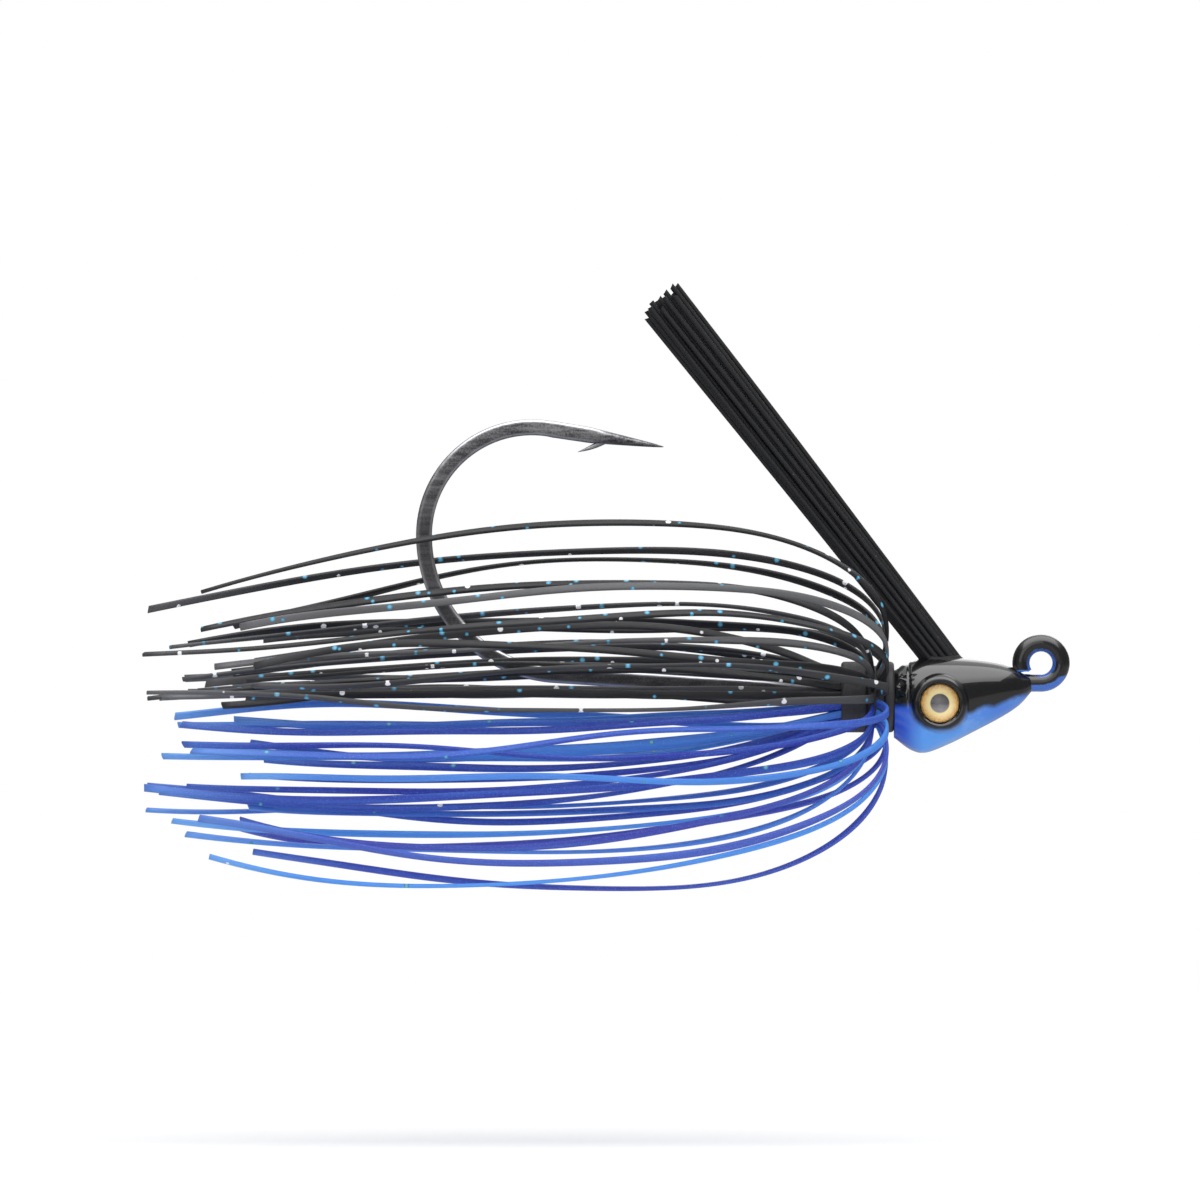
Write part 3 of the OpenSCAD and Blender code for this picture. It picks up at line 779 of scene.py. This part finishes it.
skirt = {
    "petals": ["top", "flank", "cheek", "belly"],
    "partingAngle": 20.0,
    "bellyGap": 6.0,
    "slots": 8,
    "length": 69.0,
    "radius": 20.0,
    "flat": 0.7,
    "strandW": 0.85,
    "strandT": 0.4,
    "strandGap": 0.2,
    "runGap": 0.3,
    "droop": 0.05,
    "roundUntil": 6.0,
    "sway": 8.0,
    "wave": 7.0,
    "ripple": 0.035,
    "kink": 1.1,  # small bends near the tip, in degrees
    "tipAside": 3.4,  # how far a tip lies to one side, in degrees
    "tipSpread": 6,
    # two corners of a route: mm behind the root, its change for each layer, and share of the lane's reach
    "foldBack": [(2.6, -3, 0.3), (1.5, -4, 1.1)],
    "trail": [(-4, 0, 0.12), (-9, 0, 1.05)],
    "hip": (0.55, 1.22),  # share of the length and of the reach
    "outerBend": (0.2, 3.0, 2.5),  # mm inside the hinge, outside it, and back
    "innerBend": (0.1, 6.0),  # mm before the tube's end and behind it
    "leftFirst": 40,  # the left side's strands are numbered from here, so that they fall differently
    "layerLanes": [(0, 1), (2, 3), (4, 5), (6, 6)],
    "laneReach": [1, 0.86, 0.73, 0.6, 0.47, 0.36, 0.25],
    "laneTip": [0.75, 0.65, 0.55, 0.45, 0.35, 0.25, 0.16],
    "outer": [(1, 0), (3, 1), (5, 0), (7, 1)],  # slot and layer of each strand that folds back
    "inner": [(2, 2), (6, 2), (4, 3)],  # and of each one that trails out of the tube
    "twist": 1.3,  # how far a strand turns over towards its tip, in radians
    "narrow": (0.06, 0.16),  # how much a black and a blue strand are drawn out
    "cutSlant": 0.16,
    "sides": 12,
    "blueFlake": (0.05, 0.30, 0.50),
    "flakeHighlight": (0.35, 0.72, 0.90),
    "glintWhite": (0.95, 0.96, 1.0),
    "blackBase": (0.0115, 0.0118, 0.0135),
    "blackSheen": (0.125, 0.126, 0.134),
    "blackTip": (0.17, 0.17, 0.185),
    "blueDeep": (0.027, 0.038, 0.42),
    "blueMid": (0.10, 0.37, 1.0),
    "blueTip": (0.22, 0.48, 0.97),
    "violet": (0.10, 0.10, 0.56),
}
collar = {
    "frontX": -14.7,
    "ringW": 1.0,
    "tubeW": 2.6,
    "rise": 0.42,  # from the waist to the rims
    "edgeR": 0.38,
    "boreR": 1.5,
    "rubber": (0.020, 0.020, 0.021),
    "wearAndHighlight": (0.065, 0.066, 0.070),
    "brown": (0.115, 0.108, 0.098),
}
# each layer of strands takes its own thickness and a gap, from the front ring to the rear tube
petalAngle = (180 - skirt["partingAngle"] - skirt["bellyGap"]) / len(skirt["petals"])
waistR = 2 * (skirt["strandW"] + skirt["strandGap"]) / math.radians(petalAngle)
layerPitch = skirt["strandT"] + skirt["runGap"]
firstX = collar["frontX"] - collar["ringW"] - skirt["runGap"] - skirt["strandT"] / 2
layerX = [firstX, firstX - layerPitch]
tubeX = layerX[1] - skirt["strandT"] / 2 - skirt["runGap"]
collarRearX = tubeX - collar["tubeW"]
trailX = collarRearX - skirt["runGap"]
parting = bundleR * guard["fan"] / 2 + 0.6


def slotAngle(k):
    # degrees from straight up to strand slot k, on either side
    return skirt["partingAngle"] + petalAngle * k / skirt["slots"]


def strandNumber(k, sign):
    return k + (skirt["leftFirst"] if sign > 0 else 0)


def strandRoot(layer):
    # where a strand leaves the collar, as x and radius
    if layer < 2:
        return np.array([layerX[layer], waistR + skirt["runGap"]])
    return np.array([trailX, waistR - (layer - 2) * layerPitch - skirt["strandT"] / 2])


def route(k, layer, sign, t):
    # a quartic Bezier from the collar to the tip, as x and radius; each strand has its own lane
    n = strandNumber(k, sign)
    firstHalf = k % skirt["slots"] < skirt["slots"] / 2
    lane = skirt["layerLanes"][layer][0 if firstHalf == (sign < 0) else 1]
    reach = skirt["radius"] * skirt["laneReach"][lane] * (1 + 0.03 * scatter(n, 1))
    tipR = skirt["radius"] * skirt["laneTip"][lane] * (1 + 0.05 * scatter(n, 3))
    tip = (collar["frontX"] - skirt["length"] - skirt["tipSpread"] * scatter(n, 2), tipR)
    root = strandRoot(layer)
    lead, shoulder = skirt["foldBack"] if layer < 2 else skirt["trail"]
    leadTo = root + (lead[0] + lead[1] * layer, lead[2] * reach)
    overTo = (root[0] + shoulder[0] + shoulder[1] * layer, shoulder[2] * reach)
    hipAt, hipReach = skirt["hip"]
    hip = (collar["frontX"] - hipAt * skirt["length"] * (1 + 0.12 * scatter(n, 6)), hipReach * reach)
    corners = np.array([root, leadTo, overTo, hip, tip])
    weights = np.stack([math.comb(4, i) * (1 - t) ** (4 - i) * t**i for i in range(5)], -1)
    return weights @ corners


def strandPath(k, layer, sign, t, turn=0.0):
    # the route turned to its slot's angle, which wanders towards the tip; flattened along Y and
    # parted for the guard away from the collar, and drooping with its distance behind it
    n = strandNumber(k, sign)
    q = route(k, layer, sign, t)
    r = q[:, 1] * (1 + skirt["ripple"] * t * np.sin(np.radians(500 * t + 180 * scatter(n, 5))))
    wave = skirt["wave"] * np.sin(np.radians(420 * t + 180 * scatter(n, 7)))
    wander = (skirt["sway"] * scatter(n, 4) + wave) * t * t * (1 if layer < 2 else 0.5)
    a = np.radians(slotAngle(k) + wander + turn)
    spread = np.clip((r - waistR) / skirt["roundUntil"], 0, 1)
    y = r * np.sin(a) * (1 - (1 - skirt["flat"]) * spread) + parting * spread * np.maximum(0, np.cos(a))
    z = skirtZ - skirt["droop"] * (strandRoot(layer)[0] - q[:, 0]) * np.abs(np.cos(a)) + r * np.cos(a)
    return np.stack([q[:, 0], sign * y, z], -1)


def strandGrid(k, layer, sign):
    # a flat strip with rounded edges carried along the path, twisting a little towards its slanted tip:
    # path + half width * c * wide + half thickness * m * thin, with |c|^3.4 + |m|^3.4 = 1
    n = strandNumber(k, sign)
    blue, belly = k >= 2 * skirt["slots"], k >= 3 * skirt["slots"]
    t = np.linspace(0, 1, 110) ** 1.3
    # small kinks grow towards the tip, which lies a little to one side, on top of the wander
    kinks = skirt["kink"] * t * t * np.sin(np.radians(1300 * t + 180 * scatter(n, 14)))
    kinks += skirt["tipAside"] * scatter(n, 16) * smoothStep(0.55, 1.0, t)
    path = strandPath(k, layer, sign, t, kinks)
    beside = strandPath(k, layer, sign, t, kinks + 0.5) - path
    along = tangents(path)
    # three more rings reach into the collar
    path = np.concatenate([path[:1] - along[:1] * np.array([[0.9], [0.6], [0.3]]), path])
    along, beside = [np.concatenate([np.repeat(rows[:1], 3, 0), rows]) for rows in (along, beside)]
    t = np.append([0, 0, 0], t)
    beside -= (beside * along).sum(1, keepdims=True) * along
    beside /= np.linalg.norm(beside, axis=1, keepdims=True)
    across = np.cross(along, beside)
    # the strips of the top and belly petals stay edge-on, the others turn over more
    lying = 0.15 if belly else 0.3 + 0.7 * abs(math.sin(math.radians(slotAngle(k))))
    turnOver = skirt["twist"] * lying * scatter(n, 8) * smoothStep(0.05, 0.7, t)
    twist = (turnOver + 0.3 * smoothStep(0, 0.3, t) * np.sin(11 * t + 3 * scatter(n, 9)))[:, None]
    wide = beside * np.cos(twist) + across * np.sin(twist)
    thin = across * np.cos(twist) - beside * np.sin(twist)
    c, m = superCircle(skirt["sides"], 3.4)
    drawn = skirt["narrow"][int(blue)] * (1 + scatter(n, 10)) * smoothStep(0.0, 0.5, t)
    pull = 1 - drawn + 0.03 * np.sin(23 * t + 3 * scatter(n, 11))
    w = (skirt["strandW"] / 2 * pull)[:, None, None] * c[None, :, None]
    h = skirt["strandT"] / 2 * m[None, :, None]
    grid = path[:, None, :] + w * wide[:, None, :] + h * thin[:, None, :]
    slant = skirt["cutSlant"] * scatter(n, 12) * smoothStep(0.97, 1.0, t)
    grid += (slant[:, None] * c[None, :])[..., None] * along[:, None, :]
    # faces of a mirrored strand turn inside out unless its rings run the other way
    order = slice(None, None, 1 if sign > 0 else -1)
    run = np.concatenate([[0], np.cumsum(np.linalg.norm(np.diff(path, axis=0), axis=1))])
    everywhere = np.ones(len(t) * skirt["sides"])
    values = {
        "along": np.repeat(t, skirt["sides"]),
        "shade": everywhere * (0.5 + 0.5 * scatter(n, 13)),
        "violet": everywhere * (0.45 + 0.35 * scatter(n, 15)) * (belly and layer < 2),
        "lengthMm": np.repeat(run, skirt["sides"]) + 90 * n,
        "girthMm": np.tile(c[order], len(t)) * skirt["strandW"] / 2,
    }
    return grid[:, order], values


def skirtSilicone(name, base, sheen, pale, low, flakes, pearl):
    # streaked silicone with round flakes laid along each strand, a painted sheen that varies at random from
    # strand to strand, and tips painted paler as a highlight
    material, tree, shader = newMaterial(name, {"Specular IOR Level": 0.38})
    place = placeInMm(tree)
    names = ("along", "shade", "lengthMm", "girthMm")
    along, shade, length, girth = [attribute(tree, key) for key in names]
    fine = noise(tree, place, 1.5, 4)
    # points scattered over the flat of the strand, a share of which carry a flake
    flat = {"voronoi_dimensions": "2D"}
    lay = join(tree, length * 0.5, girth * 0.5 + 3.0)
    away, chance = cells(tree, lay, 1.0, "Distance", flat), cells(tree, lay, 1.0, "Color", flat)
    channels = [addNode(tree, "ShaderNodeSeparateColor", {}, {0: chance}, n) for n in (0, 1, 2)]
    pick, size, tint = channels
    inside = (0.085 + size * 0.055 - away) * 30
    dot = step(tree, inside, -0.6, 0.6) * step(tree, pick, 1 - flakes, 1.01 - flakes)
    # the blue flakes are the silicone's own glitter; their pale hearts and the white flakes are painted
    # glints
    highlightHeart = step(tree, inside, 0.9, 2.4) * 0.5
    blueFlake = mixColour(tree, highlightHeart, skirt["blueFlake"], skirt["flakeHighlight"])
    flakeAndGlint = mixColour(tree, step(tree, tint, 0.70, 0.72), blueFlake, skirt["glintWhite"])
    streak = noise(tree, join(tree, length * 0.08, girth * 2.2, shade * 9), 1.0, 4)
    sparkle = step(tree, noise(tree, place, 11, 2), 0.56, 0.72) * pearl
    tone = shade * shade * shade * 1.1 + streak * 0.6 - 0.2
    tinted = mixColour(tree, attribute(tree, "violet"), base, low)
    lit = mixColour(tree, sparkle, mixColour(tree, tone, tinted, sheen), pale)
    # painted highlight: the tips are mixed towards the pale tip colour
    wearAndHighlight = step(tree, along, 0.9, 1.0) * (0.15 + shade * 0.5)
    feed(tree, shader, {
        "Base Color": mixColour(tree, dot, mixColour(tree, wearAndHighlight, lit, pale), flakeAndGlint),
        "Roughness": 0.36 + fine * 0.22 - dot * 0.15,
        "Normal": bump(tree, fine * 0.5 + streak * 0.5 + dot * 0.8, 0.03, 0.5),
    })
    return material


skirtBlack = skirtSilicone("skirtBlack", skirt["blackBase"], skirt["blackSheen"], skirt["blackTip"],
                           skirt["blackBase"], 0.75, 0.0)
skirtBlue = skirtSilicone("skirtBlue", skirt["blueDeep"], skirt["blueMid"], skirt["blueTip"],
                          skirt["violet"], 0.05, 0.4)
for side, sign in sideSign.items():
    for petal, zone in enumerate(skirt["petals"]):
        joint = jointOf["flare_%s_%s" % (zone, side)]
        hinge = np.array(joint["pos_m"]) / mm
        outward = np.array([0, hinge[1], hinge[2] - skirtZ])
        outward /= np.linalg.norm(outward)
        for layerName in ("outer", "inner"):
            first = petal * skirt["slots"]
            made = [strandGrid(first + slot, layer, sign) for slot, layer in skirt[layerName]]
            grids = [grid * mm for grid, values in made]
            values = {key: np.concatenate([v[key] for grid, v in made]) for key in made[0][1]}
            if layerName == "outer":
                within, beyond, behind = skirt["outerBend"]
                bendStart = hinge - within * outward
                bendEnd = hinge + beyond * outward - np.array([behind, 0, 0])
            else:
                before, behind = skirt["innerBend"]
                bendStart = np.array([trailX + before, hinge[1], hinge[2]])
                bendEnd = bendStart - np.array([behind, 0, 0])
            colour, silicone = ("black", skirtBlack) if petal < 2 else ("blue", skirtBlue)
            makePiece("strands_%s_%s_%s" % (zone, side, layerName), grids, "lure",
                      "skirt_%s_%s_%s" % (zone, side, layerName), "skirt_" + colour, silicone, values,
                      ("petal_%s_%s" % (zone, side), tuple(bendStart * mm), tuple(bendEnd * mm)))

print("stage: collar")


def collarProfile():
    # front ring, waist and rear tube with rounded rims, as distance behind the front face and radius
    rim, r, bore = waistR + collar["rise"], collar["edgeR"], collar["boreR"]

    def rounded(x0, x1):
        turn = np.radians(np.linspace(0, 90, 8))
        front = [(x0 + r - r * math.cos(a), rim - r + r * math.sin(a)) for a in turn]
        back = [(x1 - r + r * math.sin(a), rim - r + r * math.cos(a)) for a in turn]
        return front + back

    tubeStart, rear = collar["frontX"] - tubeX, collar["frontX"] - collarRearX
    waist = [(collar["ringW"] + 0.02, waistR), (tubeStart - 0.02, waistR)]
    return [(0, bore)] + rounded(0, collar["ringW"]) + waist + rounded(tubeStart, rear) + [(rear, bore)]


def collarRubber():
    # dull black rubber with faint ribs, worn grey, and brownish underneath
    material, tree, shader = newMaterial("collarRubber", {"Specular IOR Level": 0.4})
    place = placeInMm(tree)
    fine, broad = noise(tree, place, 4, 5), noise(tree, place, 0.6, 3)
    wave = {"Vector": place, "Scale": 0.9, "Distortion": 1.2}
    ribs = addNode(tree, "ShaderNodeTexWave", {"bands_direction": "X"}, wave)
    low = step(tree, axisOf(tree, place, "Z"), -4.6, -6.2)
    dull = mixColour(tree, broad * 0.6 + fine * 0.4, collar["rubber"], collar["wearAndHighlight"])
    feed(tree, shader, {
        "Base Color": mixColour(tree, low * 0.6, dull, collar["brown"]),
        "Roughness": 0.42 + fine * 0.25,
        "Normal": bump(tree, fine * 0.6 + ribs * 0.4, 0.06, 0.6),
    })
    return material


makePiece("skirtCollar", [revolve(collarProfile(), 96, (collar["frontX"], 0, skirtZ), (-1, 0, 0)) * mm],
          "lure", "skirt_collar", "collar_rubber", collarRubber(), angle=45)

print("stage: studio")

studio = {
    "centre": (-44.1, 0.0, 6.3),  # mm, the middle of the picture
    "frameWidth": 120.0,
    "distance": 1600.0,
    "floorZ": -48.0,
    "floorHalf": 600.0,
    "floorGrey": (0.78, 0.78, 0.78),
    "floorMirrored": (0.32, 0.32, 0.32),
    "fadeFrom": (120, 420),  # mm from the origin, where the floor fades into the white backdrop
    "glow": (0.19, 0.7),  # light that the floor gives off near the lure, and what is added far from it
    "ambient": 0.40,
    "wall": 0.14,  # how bright the studio's walls look in a reflection; its ceiling is white
    "ceilingFrom": (0.55, 0.82),
    "sensor": 36.0,
    # place and size in metres, and power in watts
    "lamps": {
        "topBox": ((-0.03, -0.20, 0.52), (0.95, 0.80), 4.2),
        "frontBox": ((-0.16, -0.62, 0.20), (0.40, 0.40), 0.45),
        "rearBox": ((0.10, 0.50, 0.25), (0.40, 0.40), 0.8),
    },
}


def lightPath(tree):
    # which kind of ray asks: camera or transmission, and glossy
    names = ("Is Camera Ray", "Is Transmission Ray", "Is Glossy Ray")
    camera, through, glossy = [addNode(tree, "ShaderNodeLightPath", {}, {}, name) for name in names]
    return larger(tree, camera, through), glossy


def makeWorld():
    # white to the camera; other rays meet an even grey, and reflections meet dark walls and a white ceiling
    world = bpy.data.worlds.new("studio")
    bpy.context.scene.world = world
    world.use_nodes = True
    tree = world.node_tree
    sky = tree.nodes["Background"]
    sky.inputs["Color"].default_value = (1, 1, 1, 1)
    seen, glossy = lightPath(tree)
    direction = addNode(tree, "ShaderNodeTexCoord", {}, {}, "Generated")
    ceiling = step(tree, axisOf(tree, direction, "Z"), *studio["ceilingFrom"])
    mirrored = ceiling * (1 - studio["wall"]) + studio["wall"]
    lit = glossy * mirrored + (1 - glossy) * studio["ambient"]
    tree.links.new((seen + (1 - seen) * lit).socket, sky.inputs["Strength"])


def makeFloor():
    # a pale square, which reflections see as darker, as they see the walls
    corners = np.array([(-1, -1, 0), (1, -1, 0), (1, 1, 0), (-1, 1, 0)], float) * studio["floorHalf"] * mm
    corners[:, 2] = studio["floorZ"] * mm
    mesh = bpy.data.meshes.new("floor")
    mesh.from_pydata(corners.tolist(), [], [(0, 1, 2, 3)])
    material, tree, shader = newMaterial("paleFloor", {"Roughness": 0.9, "Emission Strength": 1.0})
    seen, glossy = lightPath(tree)
    away = addNode(tree, "ShaderNodeVectorMath", {"operation": "LENGTH"}, {0: placeInMm(tree)}, 1)
    near, added = studio["glow"]
    glow = (step(tree, away, *studio["fadeFrom"]) * added + near) * seen
    feed(tree, shader, {
        "Base Color": mixColour(tree, glossy, studio["floorGrey"], studio["floorMirrored"]),
        "Emission Color": join(tree, glow, glow, glow),
    })
    mesh.materials.append(material)
    floor = bpy.data.objects.new("floor", mesh)
    bpy.context.scene.collection.objects.link(floor)


def addLamp(name, place, size, power):
    # a soft box that faces the middle of the picture
    lamp = bpy.data.lights.new(name, "AREA")
    lamp.shape = "RECTANGLE"
    lamp.size, lamp.size_y = size
    lamp.energy = power
    holder = bpy.data.objects.new(name, lamp)
    bpy.context.scene.collection.objects.link(holder)
    holder.location = place
    away = [c * mm - p for c, p in zip(studio["centre"], place)]
    holder.rotation_euler = Vector(away).to_track_quat("-Z", "Y").to_euler()


def addCamera():
    camera = bpy.data.cameras.new("camera")
    camera.sensor_width = studio["sensor"]
    camera.lens = studio["sensor"] * studio["distance"] / studio["frameWidth"]
    camera.clip_start = 0.01
    holder = bpy.data.objects.new("camera", camera)
    bpy.context.scene.collection.objects.link(holder)
    x, y, z = studio["centre"]
    holder.location = (x * mm, (y - studio["distance"]) * mm, z * mm)
    holder.rotation_euler = (math.radians(90), 0, 0)
    bpy.context.scene.camera = holder


makeWorld()
makeFloor()
for name, (place, size, power) in studio["lamps"].items():
    addLamp(name, place, size, power)
addCamera()
bpy.context.scene.view_settings.view_transform = "Standard"

print("stage: done")
